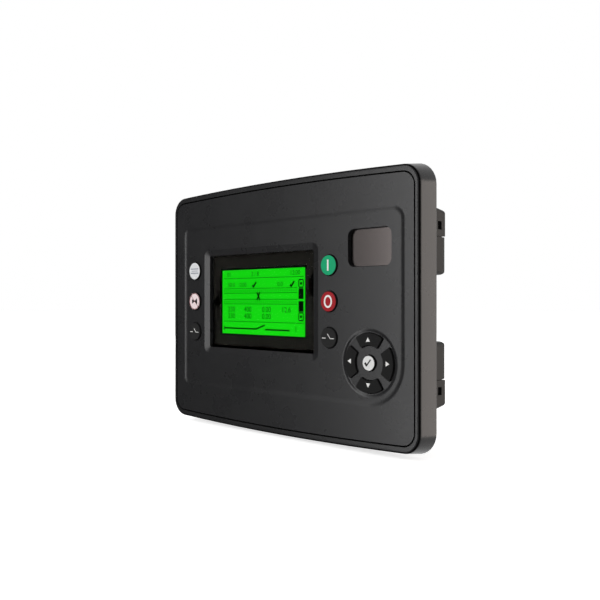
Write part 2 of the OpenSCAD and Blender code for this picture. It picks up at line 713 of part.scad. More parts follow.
front_bezel();
display_window();
lcd_frame();
lcd_panel();
backlight();
display_board();
display_screws();
keypad_mat();
contact_pads();
page_key();
mute_key();
open_key();
start_key();
stop_key();
close_key();
up_key();
right_key();
down_key();
left_key();
enter_key();
badge_plate();
panel_gasket();
rear_cover();
upper_hood();
lower_hood();
cover_screws();
main_board();
main_board_screws();
board_link();
upper_headers();
lower_headers();
upper_plug_1();
upper_plug_2();
upper_plug_3();
upper_plug_4();
lower_plug_1();
lower_plug_2();
lower_plug_3();
lower_plug_4();
terminal_screws();
usb_socket();
relays();
current_transformers();
capacitors();
processor();
memory_chips();
cell_holder();
coin_cell();
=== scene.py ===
# %% [markdown]
# A generator set controller, dressed for its picture.
# The solids come from the CAD frame and keep their size and place. This script gives them their finishes,
# and adds what is printed or lit on the real product: key signs, the display and its readout. Sizes on
# the object are written in millimetres, and MM turns them into metres. The studio is written in metres.

# %% Load the frame
import json
import math

import bpy
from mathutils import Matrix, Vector

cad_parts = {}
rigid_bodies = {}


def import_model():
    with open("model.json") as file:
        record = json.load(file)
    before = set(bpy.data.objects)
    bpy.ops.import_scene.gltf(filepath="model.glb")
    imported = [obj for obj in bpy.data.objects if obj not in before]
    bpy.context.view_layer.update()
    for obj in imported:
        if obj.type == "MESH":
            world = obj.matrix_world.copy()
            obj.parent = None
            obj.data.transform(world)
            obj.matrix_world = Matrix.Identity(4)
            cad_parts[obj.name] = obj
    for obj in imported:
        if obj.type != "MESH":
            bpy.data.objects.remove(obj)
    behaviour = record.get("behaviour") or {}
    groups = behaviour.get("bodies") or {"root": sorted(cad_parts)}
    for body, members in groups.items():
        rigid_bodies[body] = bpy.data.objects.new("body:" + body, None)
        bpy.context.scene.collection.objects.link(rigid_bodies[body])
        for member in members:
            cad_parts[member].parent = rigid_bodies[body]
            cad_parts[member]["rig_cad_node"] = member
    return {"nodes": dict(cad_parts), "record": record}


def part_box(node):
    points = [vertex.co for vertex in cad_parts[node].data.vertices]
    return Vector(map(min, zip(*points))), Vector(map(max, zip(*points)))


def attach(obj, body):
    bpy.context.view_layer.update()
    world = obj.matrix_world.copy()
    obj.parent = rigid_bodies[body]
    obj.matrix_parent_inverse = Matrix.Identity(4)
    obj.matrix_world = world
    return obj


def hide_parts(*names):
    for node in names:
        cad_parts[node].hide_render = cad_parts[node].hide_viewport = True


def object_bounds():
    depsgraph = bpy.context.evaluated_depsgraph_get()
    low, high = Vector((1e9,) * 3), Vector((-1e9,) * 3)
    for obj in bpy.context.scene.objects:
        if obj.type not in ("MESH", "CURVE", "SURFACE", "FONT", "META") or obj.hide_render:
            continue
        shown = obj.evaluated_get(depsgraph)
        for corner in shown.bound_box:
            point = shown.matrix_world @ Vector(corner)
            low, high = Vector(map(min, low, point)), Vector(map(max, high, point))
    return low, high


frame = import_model()
cad_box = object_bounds()
MM = 0.001
print("CAD box in mm:", [round(v / MM, 1) for v in cad_box[1] - cad_box[0]])

# %% [markdown]
# The camera stands level with the middle of the front and well round to its right, so that the right side
# and the ends of the rear banks show. It was fitted to corners and key centres whose real places are
# known. A fit like that beats moving a camera by eye, because lens and distance can't be told apart by
# eye.

# %% Camera
PHOTO_PX = 600
FOCAL_PX = 724.2
SENSOR_MM = 36
TURN = math.radians(43.79)
TILT = math.radians(0.034)
STAND_OFF = 499.0 * MM
AIM_RIGHT = 22.56 * MM
AIM_UP = 5.09 * MM
front_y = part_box("front_bezel")[0].y
aim = Vector((AIM_RIGHT, front_y, AIM_UP))

bpy.ops.object.camera_add(
    location=aim + STAND_OFF * Vector((math.sin(TURN), -math.cos(TURN), 0)),
    rotation=(math.pi / 2 + TILT, 0, TURN),
)
camera = bpy.context.object
camera.data.sensor_width = SENSOR_MM
camera.data.lens = FOCAL_PX * SENSOR_MM / PHOTO_PX
bpy.context.scene.camera = camera
print("lens in mm:", round(camera.data.lens, 2))

# %% [markdown]
# Colours are written as the hex values a painter would pick on screen. Shaders count in linear light, so
# one function converts them.


# %% Colours
def linear(code):
    """An sRGB hex colour as linear light."""
    parts = [int(code[i : i + 2], 16) / 255 for i in (1, 3, 5)]
    return (*[c / 12.92 if c <= 0.04045 else ((c + 0.055) / 1.055) ** 2.4 for c in parts], 1.0)


print("a middle grey in linear light:", round(linear("#808080")[0], 3))

# %% [markdown]
# A finish is a small graph of nodes. One function adds any node, sets its properties and links its
# inputs, and another starts a material. They keep every finish below short enough to read as a recipe.


# %% Nodes
def add(tree, kind, inputs=(), **settings):
    """One node: settings are its properties, and an input is a value or another node's output."""
    made = tree.nodes.new("ShaderNode" + kind)
    for name, value in settings.items():
        setattr(made, name, value)
    for name, value in dict(inputs).items():
        if isinstance(value, bpy.types.NodeSocket):
            tree.links.new(value, made.inputs[name])
        else:
            made.inputs[name].default_value = value
    return made


def start_finish(name, sockets):
    """A new material, its node tree and its shader with the constant sockets set."""
    finish = bpy.data.materials.new(name)
    finish.use_nodes = True
    skin = finish.node_tree.nodes["Principled BSDF"]
    for socket, value in sockets.items():
        skin.inputs[socket].default_value = value
    return finish, finish.node_tree, skin


print("materials before the first finish:", len(bpy.data.materials))

# %% [markdown]
# The studio is a pale room. Its background is white to the camera, in reflections and through glass, and
# much dimmer as a light, because a room that lit as brightly as it looks would wash out a black object.

# %% Room
ROOM_LIGHT = 0.36
bpy.context.scene.view_settings.view_transform = "Standard"


def when_seen(tree, unseen, seen):
    """One value for light that bounces about, another for what the camera, mirrors and panes see."""
    rays = add(tree, "LightPath").outputs
    bent = {0: rays["Is Glossy Ray"], 1: rays["Is Transmission Ray"]}
    through = add(tree, "Math", bent, operation="MAXIMUM").outputs[0]
    direct = add(tree, "Math", {0: rays["Is Camera Ray"], 1: through}, operation="MAXIMUM").outputs[0]
    return add(tree, "MapRange", {"Value": direct, "To Min": unseen, "To Max": seen}).outputs["Result"]


world = bpy.data.worlds.new("pale_room")
bpy.context.scene.world = world
world.use_nodes = True
room = world.node_tree
room.links.new(when_seen(room, ROOM_LIGHT, 1.0), room.nodes["Background"].inputs["Strength"])
room.nodes["Background"].inputs["Color"].default_value = (1, 1, 1, 1)
print("room light:", ROOM_LIGHT)

# %% [markdown]
# The floor is a painted board that keeps the object's soft shadow. It glows just enough to meet the white
# background without a line. Reflections look through it to the even white of the room.

# %% Floor
FLOOR_SIZE = 12.0
FLOOR_LIFT = 0.68
bpy.ops.object.select_all(action="DESELECT")
bpy.ops.mesh.primitive_plane_add(size=FLOOR_SIZE, location=(0, 0, cad_box[0].z))
floor = bpy.context.object
floor.name = "studio_floor"
bpy.ops.object.transform_apply(location=True)
paint, tree, skin = start_finish("floor_paint_white", {"Base Color": linear("#e6e6e6"), "Roughness": 0.9})
skin.inputs["Emission Color"].default_value = (1, 1, 1, 1)
tree.links.new(when_seen(tree, 0.0, FLOOR_LIFT), skin.inputs["Emission Strength"])
floor.data.materials.append(paint)
floor.visible_glossy = False
print("floor at z =", round(cad_box[0].z / MM, 1), "mm")

# %% [markdown]
# A lamp's width sets how broad its highlight is. The front softbox is narrow, so its glow covers only the
# right part of the face and the sloping left side of the display's frame, and the rest of the face stays
# dark. The wall on the right is wide and warm, and lights the right side of the bezel evenly. Two weak
# lamps, behind on the left and above, keep the rear and the top readable from other sides.


# %% Lamps
def facing(azimuth, distance, height=0.0):
    """A place round the object and the turn that faces its middle; azimuth 0 is in front, 90 right."""
    turn = math.radians(azimuth)
    place = Vector((math.sin(turn) * distance, -math.cos(turn) * distance, height))
    return place, (-place).to_track_quat("-Z", "Y").to_euler()


def softbox(name, azimuth, distance, height, width, tall, watts, colour):
    """A rectangular studio lamp that faces the object."""
    place, turn = facing(azimuth, distance, height)
    bpy.ops.object.light_add(type="AREA", location=place, rotation=turn)
    lamp = bpy.context.object
    lamp.name = name
    lamp.data.shape = "RECTANGLE"
    lamp.data.size = width
    lamp.data.size_y = tall
    lamp.data.energy = watts
    lamp.data.color = linear(colour)[:3]


# Name, azimuth in degrees, distance and height in metres, width and height of the lamp, watts, colour
LAMPS = (
    ("front_softbox", -22, 1.4, 0.0, 0.46, 2.6, 27.5, "#ffffff"),
    ("right_wall", 119, 1.3, 0.0, 1.4, 0.95, 15, "#fff3ea"),
    ("rear_fill", 250, 1.3, 0.5, 1.2, 1.0, 8, "#ffffff"),
    ("top_fill", 20, 1.3, 1.3, 1.2, 1.2, 3, "#ffffff"),
)
for row in LAMPS:
    softbox(*row)
print("lamps:", len(LAMPS))

# %% [markdown]
# Black cards stand beside the camera and far left, as a photographer's flags do. Only reflections see
# them. They give the rounded rim its dark line and let the front fall off towards its far side.


# %% Black cards
def black_card(name, azimuth, distance, width, tall):
    """A card that only reflections see, so that it darkens what a glossy edge mirrors."""
    place, turn = facing(azimuth, distance)
    bpy.ops.mesh.primitive_plane_add(size=1, location=place, rotation=turn)
    card = bpy.context.object
    card.name = name
    card.scale = (width, tall, 1)
    bpy.ops.object.transform_apply(location=True, rotation=True, scale=True)
    black, _, _ = start_finish(name + "_cloth", {"Base Color": linear("#050505"), "Roughness": 1.0})
    card.data.materials.append(black)
    card.visible_camera = False
    card.visible_diffuse = False
    card.visible_shadow = False
    card.visible_transmission = False


black_card("camera_side_card", azimuth=12, distance=0.9, width=1.12, tall=4.0)
black_card("left_card", azimuth=-80, distance=0.9, width=1.4, tall=4.0)

# %% [markdown]
# The mouldings are black ABS from a spark-eroded tool, which leaves a fine even grain. The eye reads a
# satin surface with soft wide highlights. The real grain is about 0.2 mm, too fine for this picture, so
# it is drawn three times as coarse. Slow clouds in tone and gloss keep a large plain face from looking
# like paper.

# %% Moulded plastics
CLOUD = 28
GRAIN = 0.6
GLOSS_DRIFT = 0.05


def moulded(name, colour, worn, rough, grain=GRAIN, depth=0.03, shine=0.22):
    """A moulded plastic: tone and gloss that drift a little together, and a grain in millimetres."""
    finish, tree, skin = start_finish(name, {"Specular IOR Level": shine})
    place = add(tree, "TexCoord").outputs["Object"]
    slow = {"Vector": place, "Scale": 1 / (CLOUD * MM), "Detail": 4.0, "Roughness": 0.6}
    cloud = add(tree, "TexNoise", slow).outputs["Fac"]
    fine = add(tree, "TexNoise", {"Vector": place, "Scale": 1 / (grain * MM), "Detail": 2.0}).outputs["Fac"]
    tone = add(tree, "MixRGB", {"Fac": cloud, "Color1": linear(colour), "Color2": linear(worn)})
    gloss_range = {"Value": cloud, "To Min": rough - GLOSS_DRIFT, "To Max": rough + GLOSS_DRIFT}
    gloss = add(tree, "MapRange", gloss_range)
    bump = add(tree, "Bump", {"Height": fine, "Strength": 0.35, "Distance": depth * MM})
    tree.links.new(tone.outputs["Color"], skin.inputs["Base Color"])
    tree.links.new(gloss.outputs["Result"], skin.inputs["Roughness"])
    tree.links.new(bump.outputs["Normal"], skin.inputs["Normal"])
    return finish


finishes = {
    # Satin black, whose highlights are soft but still show each change of slope
    "bezel_abs": moulded("abs_black_spark_eroded", "#1e1e1f", "#242425", 0.28),
    # A warmer, duller black, with hardly a highlight
    "cover_abs": moulded("abs_black_cover_moulded", "#282726", "#2e2d2c", 0.3, shine=0.055),
    # Plain blacks of nylon, a little waxy
    "connector_black": moulded("nylon_black_header", "#151617", "#1c1d1e", 0.5),
    "plug_black": moulded("nylon_black_plug", "#17181a", "#1f2022", 0.45),
    # A dull, stony black
    "chip_black": moulded("epoxy_chip_package", "#121314", "#191a1b", 0.6, grain=0.3),
    # Two glossy blues, of a hard case and of a shrunk sleeve
    "relay_blue": moulded("polyester_relay_case", "#2c4f8c", "#335793", 0.35),
    "capacitor_sleeve": moulded("shrink_sleeve_blue", "#3a4a68", "#43547a", 0.3),
    # A milky white with a clean gloss
    "light_guide": moulded("acrylic_light_guide", "#e8efe6", "#dfe8dc", 0.2),
}
print("moulded finishes:", len(finishes))

# %% [markdown]
# The keys are satin plastic caps with their own colours. Their tops have a coarser speckle than the
# bezel, because thumbs would slip on a smooth cap. The mat under them and the panel seal are rubbers:
# dark and dull, with almost no highlight.

# %% Keys and rubbers
KEY_GRAIN = 0.9
KEY_DEPTH = 0.05
KEY_SHINE = 0.1
for slot, name, colour, worn, rough in (
    # Pale caps, which read as clean and slightly powdery
    ("key_grey", "key_cap_grey_satin", "#cbccce", "#d3d4d5", 0.42),
    ("key_pale", "key_cap_pale_satin", "#dccacc", "#e2d2d3", 0.42),
    # Caps that hardly stand out from the bezel; charcoal is a shade lighter
    ("key_black", "key_cap_black_satin", "#131313", "#1b1b1b", 0.6),
    ("key_charcoal", "key_cap_charcoal_satin", "#1d1d1d", "#252525", 0.6),
    # Signal colours, deep and even
    ("key_green", "key_cap_green_satin", "#089262", "#0e9a68", 0.42),
    ("key_red", "key_cap_red_satin", "#92131c", "#9a1b24", 0.42),
    # A light neutral cap for the middle of the pad
    ("key_silver", "key_cap_silver_satin", "#d4d4d3", "#dcdcdb", 0.42),
    # Rubbers that take up the light
    ("key_rubber", "silicone_mat_grey", "#26282a", "#2d2f31", 0.75),
    ("gasket_foam", "foam_rubber_seal", "#1c1d1e", "#252627", 0.9),
):
    finishes[slot] = moulded(name, colour, worn, rough, grain=KEY_GRAIN, depth=KEY_DEPTH, shine=KEY_SHINE)
print("finishes so far:", len(finishes))

# %% [markdown]
# Metals here are plated: zinc on the screws, tin on the socket, gold on the contacts. Plating is bright
# and slightly uneven, so the gloss drifts over a few millimetres, and fine scratches run along the
# surface. The badge plate is dark satin aluminium, brushed one way, which stretches its highlights across
# the strokes.

# %% Metals
PATCH = 4
STREAK = 0.08


def plated(name, colour, rough, scratch, drift=0.08):
    """A metal: gloss that drifts in patches, and scratches of a width in millimetres drawn out along X."""
    finish, tree, skin = start_finish(name, {"Metallic": 1.0, "Base Color": linear(colour)})
    place = add(tree, "TexCoord").outputs["Object"]
    drawn = add(tree, "Mapping", {"Vector": place, "Scale": (STREAK, 1.0, 1.0)}).outputs["Vector"]
    lines = add(tree, "TexNoise", {"Vector": drawn, "Scale": 1 / (scratch * MM), "Detail": 3.0})
    patch = add(tree, "TexNoise", {"Vector": place, "Scale": 1 / (PATCH * MM)}).outputs["Fac"]
    gloss = add(tree, "MapRange", {"Value": patch, "To Min": rough - drift, "To Max": rough + drift})
    bump = add(tree, "Bump", {"Height": lines.outputs["Fac"], "Strength": 0.2, "Distance": 0.01 * MM})
    tree.links.new(gloss.outputs["Result"], skin.inputs["Roughness"])
    tree.links.new(bump.outputs["Normal"], skin.inputs["Normal"])
    return finish


# Greyish and soft for zinc, brighter for tin, warm for gold
finishes["zinc_steel"] = plated("steel_zinc_plated", "#b4b6b8", 0.32, 0.25)
finishes["bright_tin"] = plated("steel_tin_plated", "#c8cacb", 0.22, 0.3)
finishes["gold_contact"] = plated("contact_gold_plated", "#d2ab55", 0.25, 0.2)
# A dark skin with broad, faint highlights
finishes["black_metal"] = plated("steel_black_oxide", "#141415", 0.5, 0.3)
# A dark mirror, blurred by the brushing
finishes["badge_satin"] = plated("aluminium_satin_brushed", "#413d3c", 0.2, 0.35, drift=0.015)
print("metals done, finishes so far:", len(finishes))

# %% [markdown]
# The boards are glass fibre laminate under green solder mask, which looks glossy and a little deep.
# Copper tracks show through it as paler lines. A brick pattern, with rows a few track pitches high, gives
# that look from a step away.

# %% Circuit board
TRACK_PITCH = 2.54
PATTERN_PITCHES = 10
laminate, tree, skin = start_finish("laminate_green_solder_mask", {"Roughness": 0.35, "Coat Weight": 0.2})
place = add(tree, "TexCoord").outputs["Object"]
flat = add(tree, "Mapping", {"Vector": place, "Rotation": (math.pi / 2, 0, 0)})
pattern = {
    "Vector": flat.outputs["Vector"],
    "Color1": linear("#1d5a32"),
    "Color2": linear("#1b5530"),
    "Mortar": linear("#2f7a48"),
    "Scale": 1 / (PATTERN_PITCHES * TRACK_PITCH * MM),
    "Mortar Size": 0.008,
}
tracks = add(tree, "TexBrick", pattern)
bump = add(tree, "Bump", {"Height": tracks.outputs["Fac"], "Strength": 0.3, "Distance": 0.03 * MM})
tree.links.new(tracks.outputs["Color"], skin.inputs["Base Color"])
tree.links.new(bump.outputs["Normal"], skin.inputs["Normal"])
finishes["circuit_board"] = laminate
print("board pattern repeats every", round(PATTERN_PITCHES * TRACK_PITCH, 1), "mm")

# %% [markdown]
# A CAD mesh arrives as loose triangles with hard facets. Each piece that shows is copied, its triangles
# are welded, and flat areas are merged into single faces. The copy then stands for its CAD node and moves
# with the same body.

# %% Copy a solid
WELD = 0.001
FLAT = math.radians(0.2)
bodies = frame["record"]["behaviour"]["bodies"]
body_of = {node: body for body, members in bodies.items() for node in members}


def copy_solid(node):
    """A welded copy of a CAD node, selected and active, with flat areas merged."""
    bpy.ops.object.select_all(action="DESELECT")
    frame["nodes"][node].select_set(True)
    bpy.context.view_layer.objects.active = frame["nodes"][node]
    bpy.ops.object.duplicate()
    piece = bpy.context.object
    piece.name = node + "_dressed"
    piece.data.name = piece.name
    del piece["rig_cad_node"]
    bpy.ops.object.mode_set(mode="EDIT")
    bpy.ops.mesh.select_all(action="SELECT")
    bpy.ops.mesh.remove_doubles(threshold=WELD * MM)
    bpy.ops.mesh.dissolve_limited(angle_limit=FLAT)
    bpy.ops.object.mode_set(mode="OBJECT")
    return piece


def stand_in(piece, node, slot):
    """Gives a dressed copy its finish and lets it stand for its CAD node."""
    piece.data.materials.clear()
    piece.data.materials.append(finishes[slot])
    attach(piece, body_of[node])
    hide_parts(node)
    return piece


# %% [markdown]
# A moulding tool leaves a small radius on every sharp edge. That thin rounded edge catches the light, and
# it is most of what makes a solid look real. Weighted normals keep the large faces flat beside it. They
# would also hide a shallow slope, so edges that have to stay crisp are picked by their place and marked
# sharp.

# %% Round its edges
SHARP = math.radians(40)
SMOOTH = math.radians(35)


def choose_edges(piece, wanted):
    """Goes into edit mode with only those edges selected whose two ends are wanted."""
    bpy.ops.object.mode_set(mode="EDIT")
    bpy.context.tool_settings.mesh_select_mode = (False, True, False)
    bpy.ops.mesh.select_all(action="DESELECT")
    bpy.ops.object.mode_set(mode="OBJECT")
    ends = [wanted(v.co) for v in piece.data.vertices]
    for edge in piece.data.edges:
        edge.select = ends[edge.vertices[0]] and ends[edge.vertices[1]]
    bpy.ops.object.mode_set(mode="EDIT")


def soften(piece, edge, crisp=None):
    """Rounds sharp edges by a radius in millimetres, shades round faces smooth and keeps crisp edges."""
    bpy.ops.object.modifier_add(type="BEVEL")
    rounding = piece.modifiers[-1]
    rounding.width = edge * MM
    rounding.segments = 2
    rounding.limit_method = "ANGLE"
    rounding.angle_limit = SHARP
    bpy.ops.object.modifier_apply(modifier=rounding.name)
    bpy.ops.object.shade_smooth_by_angle(angle=SMOOTH)
    if crisp:
        choose_edges(piece, crisp)
        bpy.ops.mesh.mark_sharp()
        bpy.ops.object.mode_set(mode="OBJECT")
    bpy.ops.object.modifier_add(type="WEIGHTED_NORMAL")
    piece.modifiers[-1].keep_sharp = True
    bpy.ops.object.modifier_apply(modifier=piece.modifiers[-1].name)


def dress(node, slot, edge, crisp=None):
    """A copy of a CAD node with rounded edges, in its finish."""
    piece = copy_solid(node)
    soften(piece, edge, crisp)
    return stand_in(piece, node, slot)


print("edges sharper than", round(math.degrees(SHARP)), "degrees get a radius")

# %% [markdown]
# The bezel is injection moulded in one piece. Its solid has a sharp rim round the shallow dish of the
# navigation pad. On the real bezel a thumb slides over that rim, so it is rounded. The rim's edges are
# found by their distance from the pad's middle, then bevelled in edit mode as by hand.

# %% Bezel: rim of the dish
RECESS_DEPTH = 1.0
LEVEL = 0.02
DISH_R = 21.4
DISH_SLACK = 0.1
DISH_ROUNDING = 1.0
recess_y = front_y + RECESS_DEPTH * MM
pad_low, pad_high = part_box("enter_key")
pad_middle = (pad_low + pad_high) / 2


def in_recess(p):
    """Whether a point is level with the floor of the bezel's broad recess."""
    return abs(p.y - recess_y) < LEVEL * MM


def on_dish(p):
    """Whether a point is on the rim of the shallow dish round the navigation pad."""
    out = math.hypot(p.x - pad_middle.x, p.z - pad_middle.z)
    return abs(out - DISH_R * MM) < DISH_SLACK * MM and in_recess(p)


bezel = copy_solid("front_bezel")
choose_edges(bezel, on_dish)
bpy.ops.mesh.bevel(offset=DISH_ROUNDING * MM, segments=4)
bpy.ops.object.mode_set(mode="OBJECT")
print("dish rim rounded by", DISH_ROUNDING, "mm")

# %% [markdown]
# A sloping frame leads the eye down to the display's window. The solid's slope is a little too wide, so
# its outer outline is scaled about the middle of the pane. Scaling the outline alone keeps the window's
# opening, and the slope turns steeper by itself. The outline stays crisp, so that the slope shows as a
# face of its own.

# %% Bezel: frame of the display
SOLID_SILL = 7.0
SILL_SIDE = 5.4
SILL_TOP = 4.8
SILL_REACH = 7.5
pane_low, pane_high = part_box("display_window")
pane_size = pane_high - pane_low
pane_middle = (pane_high + pane_low) / 2


def on_sill(p):
    """Whether a point is on the outer outline of the display's sloping frame."""
    near_side = abs(p.x - pane_middle.x) < pane_size.x / 2 + SILL_REACH * MM
    near_top = abs(p.z - pane_middle.z) < pane_size.z / 2 + SILL_REACH * MM
    return near_side and near_top and in_recess(p)


def shrink(size, sill):
    """How much the outline shrinks along one side of the pane to leave a slope of that width."""
    return (size / MM + 2 * sill) / (size / MM + 2 * SOLID_SILL)


choose_edges(bezel, on_sill)
narrower = (shrink(pane_size.x, SILL_SIDE), 1, shrink(pane_size.z, SILL_TOP))
bpy.ops.transform.resize(value=narrower, center_override=pane_middle)
bpy.ops.object.mode_set(mode="OBJECT")
soften(bezel, edge=0.25, crisp=on_sill)
stand_in(bezel, "front_bezel", "bezel_abs")
print("bezel faces:", len(bezel.data.polygons))

# %% [markdown]
# A fine shadow groove runs round the face, just inside the rim. Its faces are painted near-black and dull,
# with no highlight. This is painted shade, for the shade that a deeper, narrower groove would hold, so the
# groove reads as a black line. Its faces are found by their depth and by how far out they lie, and take
# this second, painted-shade finish.

# %% Bezel: shadow groove
GROOVE_OUT_X = 112
GROOVE_OUT_Z = 70
GROOVE_LIP = 0.2
GROOVE_TOP = 0.3
GROOVE_FLOOR = 1.1
# Near-black and dull, with no highlight: painted shade in the groove.
bezel.data.materials.append(moulded("abs_black_groove_painted_shade", "#060606", "#0a0a0a", 0.8, shine=0.0))
for face in bezel.data.polygons:
    corners = [bezel.data.vertices[v].co for v in face.vertices]
    outside = all(abs(c.x) > GROOVE_OUT_X * MM or abs(c.z) > GROOVE_OUT_Z * MM for c in corners)
    sunk = min(c.y for c in corners) > front_y + GROOVE_LIP * MM
    if outside and sunk and front_y + GROOVE_TOP * MM < face.center.y < front_y + GROOVE_FLOOR * MM:
        face.material_index = 1
print("groove faces:", sum(face.material_index for face in bezel.data.polygons))

# %% [markdown]
# The cover and the two hoods over its banks are mouldings too. The hoods' ends taper at the rear, and
# that taper stays crisp. The seal is cut from foam, and the badge plate is pressed from sheet and left
# plain.

# %% Cover, hoods, seal and badge plate
TAPER = 2.5
END_SKIN = 0.05
hood_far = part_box("upper_hood")[1]


def on_taper(p):
    """Whether a point is on the tapered rear edge of a hood's end."""
    return abs(p.x) > hood_far.x - END_SKIN * MM and p.y > hood_far.y - TAPER * MM


cover = dress("rear_cover", "cover_abs", edge=0.3)
for node in ("upper_hood", "lower_hood"):
    dress(node, "cover_abs", edge=0.3, crisp=on_taper)
dress("panel_gasket", "gasket_foam", edge=0.3)
dress("badge_plate", "badge_satin", edge=0.2)
print("cover faces:", len(cover.data.polygons))

# %% [markdown]
# Each round key is dressed in black, and only its flat top face takes the key's colour. The black on the
# cap's walls is painted shade. It stands for the dark crescent that shade lays on each raised cap's side
# and in the gap round it, so a dark rim stays round every disc. The two breaker keys have charcoal tops
# over the same painted shade on their walls.

# %% Keys
KEYS = {
    "page_key": "key_grey",
    "mute_key": "key_pale",
    "open_key": "key_black",
    "start_key": "key_green",
    "stop_key": "key_red",
    "close_key": "key_black",
    "up_key": "key_black",
    "right_key": "key_black",
    "down_key": "key_black",
    "left_key": "key_black",
    "enter_key": "key_silver",
}
CAP_TOPS = {"open_key": "key_charcoal", "close_key": "key_charcoal"}
CAP_TOP_NORMAL = -0.99
for node, slot in KEYS.items():
    key = dress(node, slot, edge=0.25)
    top = min(v.co.y for v in key.data.vertices)
    # The caps' walls take the black finish as painted shade, and only the top faces keep the key's own
    # colour.
    key.data.materials.clear()
    key.data.materials.append(finishes["key_black"])
    key.data.materials.append(finishes[CAP_TOPS.get(node, slot)])
    for face in key.data.polygons:
        if face.normal.y < CAP_TOP_NORMAL and face.center.y < top + LEVEL * MM:
            face.material_index = 1
print("keys:", len(KEYS))

# %% [markdown]
# The rear carries pluggable terminal blocks. Their bodies are nylon, and the clamp screws down their
# holes are zinc-plated steel. The service socket has a shell of tinned steel. All are dressed the way the
# mouldings are, with a smaller radius on smaller pieces.

# %% Terminals and fasteners
PLUGS = [row + "_plug_" + str(i) for row in ("upper", "lower") for i in (1, 2, 3, 4)]
for node in PLUGS:
    dress(node, "plug_black", edge=0.2)
for node in ("upper_headers", "lower_headers"):
    dress(node, "connector_black", edge=0.2)
dress("terminal_screws", "zinc_steel", edge=0.12)
dress("cover_screws", "zinc_steel", edge=0.25)
dress("usb_socket", "bright_tin", edge=0.15)
print("plugs:", len(PLUGS))

# %% [markdown]
# Boards, relays, chips and their fasteners fill the inside of the real product. They can't be seen in any
# pose, so they keep their CAD meshes and only take a finish.

# %% Pieces inside
INSIDE = {
    "lcd_frame": "black_metal",
    "backlight": "light_guide",
    "display_board": "circuit_board",
    "display_screws": "zinc_steel",
    "keypad_mat": "key_rubber",
    "contact_pads": "gold_contact",
    "main_board": "circuit_board",
    "main_board_screws": "zinc_steel",
    "board_link": "connector_black",
    "relays": "relay_blue",
    "current_transformers": "connector_black",
    "capacitors": "capacitor_sleeve",
    "processor": "chip_black",
    "memory_chips": "chip_black",
    "cell_holder": "connector_black",
    "coin_cell": "bright_tin",
}
for node, slot in INSIDE.items():
    inner = frame["nodes"][node].data.materials
    inner.clear()
    inner.append(finishes[slot])
print("inner pieces:", len(INSIDE))

# %% [markdown]
# The display is a liquid crystal cell lit from behind. Its light drifts a little over the field, because
# a light guide never spreads its lamps quite evenly, and the columns of points show as faint stripes. The
# real columns are under 0.4 mm apart, too fine for this picture, so the stripes are nearly four times as
# coarse.

# %% Lit field
FIELD_WIDE = 88.8
STRIPES = 64
STRIPE_GAP = 0.12
STRIPE_DIM = 0.9
GLOW_CLOUD = 60
half_stripe = FIELD_WIDE / STRIPES / 2
unlit = {"Base Color": linear("#041604"), "Roughness": 0.5, "Specular IOR Level": 0.0}
lit_field, tree, skin = start_finish("lcd_field_backlit", unlit)
place = add(tree, "TexCoord").outputs["Object"]
slow = {"Vector": place, "Scale": 1 / (GLOW_CLOUD * MM), "Detail": 1.0}
cloud = add(tree, "TexNoise", slow).outputs["Fac"]
glow = add(tree, "MixRGB", {"Fac": cloud, "Color1": linear("#0cd00a"), "Color2": linear("#16e612")})
across = add(tree, "SeparateXYZ", {"Vector": place}).outputs["X"]
wave = add(tree, "Math", {0: across, 1: half_stripe * MM}, operation="PINGPONG").outputs[0]
gap = {"Value": wave, "From Max": STRIPE_GAP * half_stripe * MM, "To Min": STRIPE_DIM}
stripes = add(tree, "MapRange", gap)
tree.links.new(glow.outputs["Color"], skin.inputs["Emission Color"])
tree.links.new(stripes.outputs["Result"], skin.inputs["Emission Strength"])
print("stripes every", round(2 * half_stripe, 2), "mm")

# %% [markdown]
# The cell's glass is black round the lit field. Its front face is inset, and the inner face takes the lit
# finish. That keeps the cell one piece, as the glass is. The lit faces are then measured, so that the
# readout can be laid out on them.

# %% Display cell
CELL_BORDER = 5.7
CELL_FRONT_NORMAL = -0.9
finishes["lcd_green"] = moulded("lcd_glass_black_mask", "#08090a", "#0b0c0d", 0.5, shine=0.0)
cell = stand_in(copy_solid("lcd_panel"), "lcd_panel", "lcd_green")
cell.data.materials.append(lit_field)
bpy.ops.object.mode_set(mode="EDIT")
bpy.ops.mesh.select_all(action="DESELECT")
bpy.ops.object.mode_set(mode="OBJECT")
for face in cell.data.polygons:
    face.select = face.normal.y < CELL_FRONT_NORMAL
bpy.ops.object.mode_set(mode="EDIT")
bpy.context.tool_settings.mesh_select_mode = (False, False, True)
bpy.ops.mesh.inset(thickness=CELL_BORDER * MM)
cell.active_material_index = 1
bpy.ops.object.material_slot_assign()
bpy.ops.object.mode_set(mode="OBJECT")

lit_faces = [face for face in cell.data.polygons if face.material_index == 1]
lit_points = [cell.data.vertices[v].co for face in lit_faces for v in face.vertices]
field_low = Vector(map(min, zip(*lit_points)))
field_high = Vector(map(max, zip(*lit_points)))
print("lit field in mm:", [round(v / MM, 1) for v in field_high - field_low])

# %% [markdown]
# The window is a clear acrylic pane with a low-reflection hard coat. The eye looks straight through it,
# so its finish bends and mirrors light far less than plain acrylic would. A flat pane needs no more shape
# than its solid has.

# %% Window pane
clear = {"Base Color": linear("#f4f6f4"), "Transmission Weight": 1.0, "IOR": 1.05, "Roughness": 0.0}
finishes["window_tint"] = start_finish("acrylic_pane_low_reflection", clear)[0]
stand_in(copy_solid("display_window"), "display_window", "window_tint")
print("pane in mm:", [round(v / MM, 1) for v in pane_size])

# %% [markdown]
# A black border is printed on the pane's rear face, as on most panel displays, so only the cell shows
# through. The border is a plane with its middle inset and deleted, then given the thickness of a coat of
# ink.

